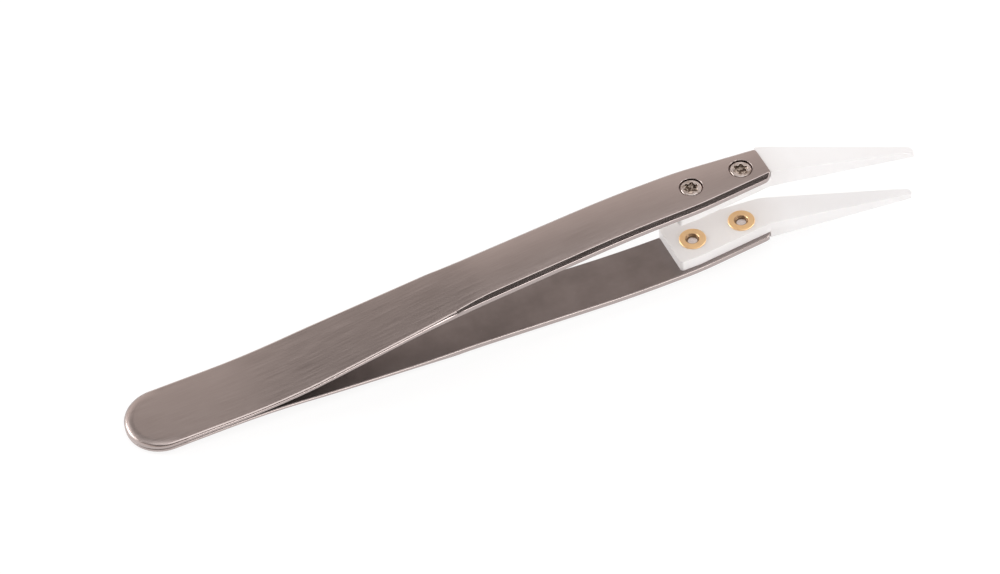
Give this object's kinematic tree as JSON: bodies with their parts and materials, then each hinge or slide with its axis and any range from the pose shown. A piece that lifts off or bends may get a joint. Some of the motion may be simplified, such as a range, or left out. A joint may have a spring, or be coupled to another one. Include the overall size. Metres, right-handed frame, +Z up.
{
  "type": "tweezers",
  "caption": "Tweezers with bowed spring steel arms joined flat at the heel, ground edges, and bent ceramic tips held by sunk screws and flanged brass nuts.",
  "frame": {"origin": "centre of the bounding box in plan, on the bench plane under the lower arm", "axes": "+X from the heel to the tips, +Z up from the lower arm to the upper one, -Y the side the tips bend to"},
  "size_m": [0.1302, 0.013, 0.0175],
  "materials": {
    "arm_steel": "brushed along the length",
    "tip_ceramic": "satin, fired",
    "screw_steel": "polished",
    "nut_brass": "turned, satin"
  },
  "bodies": {
    "root": {"lower_arm": "arm_steel", "upper_arm": "arm_steel", "lower_tip": "tip_ceramic", "upper_tip": "tip_ceramic", "lower_front_screw": "screw_steel", "lower_rear_screw": "screw_steel", "upper_front_screw": "screw_steel", "upper_rear_screw": "screw_steel", "lower_front_nut": "nut_brass", "lower_rear_nut": "nut_brass", "upper_front_nut": "nut_brass", "upper_rear_nut": "nut_brass"}
  },
  "joints": []
}
